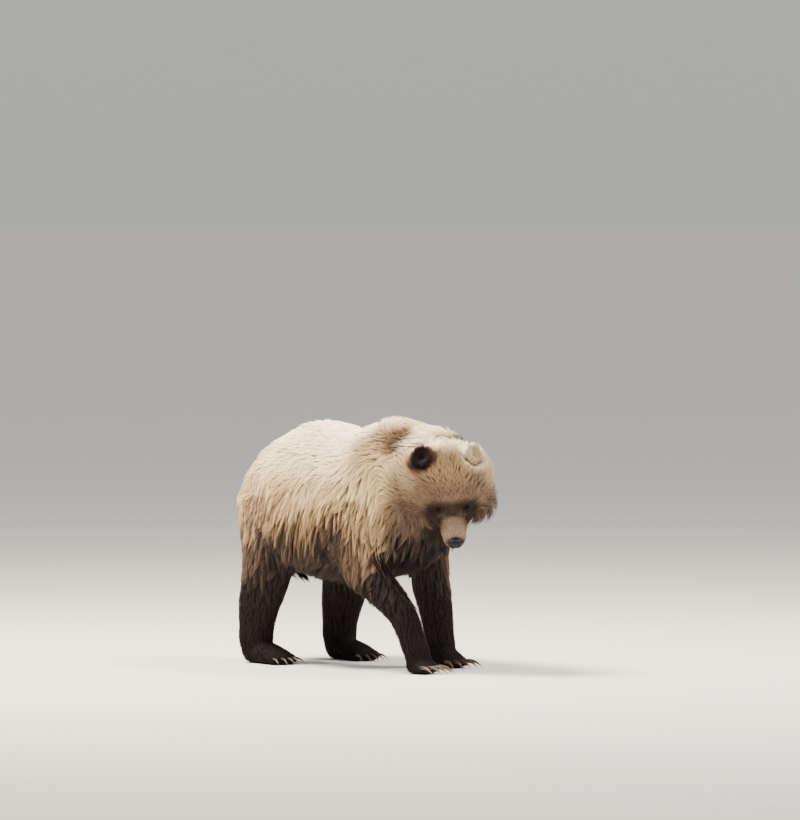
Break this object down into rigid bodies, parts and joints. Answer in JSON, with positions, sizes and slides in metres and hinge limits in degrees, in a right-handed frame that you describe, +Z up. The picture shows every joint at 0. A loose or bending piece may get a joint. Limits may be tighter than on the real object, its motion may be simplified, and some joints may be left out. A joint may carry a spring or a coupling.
{
  "type": "grizzly bear",
  "caption": "Life-size still model of a standing grizzly bear with its head hung low and one forepaw reaching ahead",
  "frame": {"origin": "on the floor, under the middle of the bear's box", "axes": "+X along the body towards the chest and the reaching forepaw, +Y to the bear's left, +Z up"},
  "size_m": [1.4034, 0.6186, 1.0069],
  "materials": {
    "fur_blond": "long shaggy blond fur, sun-bleached tips",
    "fur_brown": "thick brown fur",
    "fur_dark": "short dark brown fur",
    "nose_leather": "damp black pebbled skin",
    "eye": "wet dark brown",
    "claw_horn": "smooth horn, dark at the root and paler at the tip"
  },
  "bodies": {
    "root": {"trunk": "fur_blond", "neck": "fur_blond", "head": "fur_blond", "muzzle": "fur_blond", "lower_jaw": "fur_brown", "nose": "nose_leather", "ear_left": "fur_dark", "ear_right": "fur_dark", "eye_left": "eye", "eye_right": "eye", "tail": "fur_brown", "foreleg_left": "fur_brown", "foreleg_right": "fur_brown", "hindleg_left": "fur_brown", "hindleg_right": "fur_brown", "forepaw_left": "fur_dark", "forepaw_right": "fur_dark", "hindpaw_left": "fur_dark", "hindpaw_right": "fur_dark", "claw_fore_left_1": "claw_horn", "claw_fore_left_2": "claw_horn", "claw_fore_left_3": "claw_horn", "claw_fore_left_4": "claw_horn", "claw_fore_left_5": "claw_horn", "claw_fore_right_1": "claw_horn", "claw_fore_right_2": "claw_horn", "claw_fore_right_3": "claw_horn", "claw_fore_right_4": "claw_horn", "claw_fore_right_5": "claw_horn", "claw_hind_left_1": "claw_horn", "claw_hind_left_2": "claw_horn", "claw_hind_left_3": "claw_horn", "claw_hind_left_4": "claw_horn", "claw_hind_left_5": "claw_horn", "claw_hind_right_1": "claw_horn", "claw_hind_right_2": "claw_horn", "claw_hind_right_3": "claw_horn", "claw_hind_right_4": "claw_horn", "claw_hind_right_5": "claw_horn"}
  },
  "joints": []
}
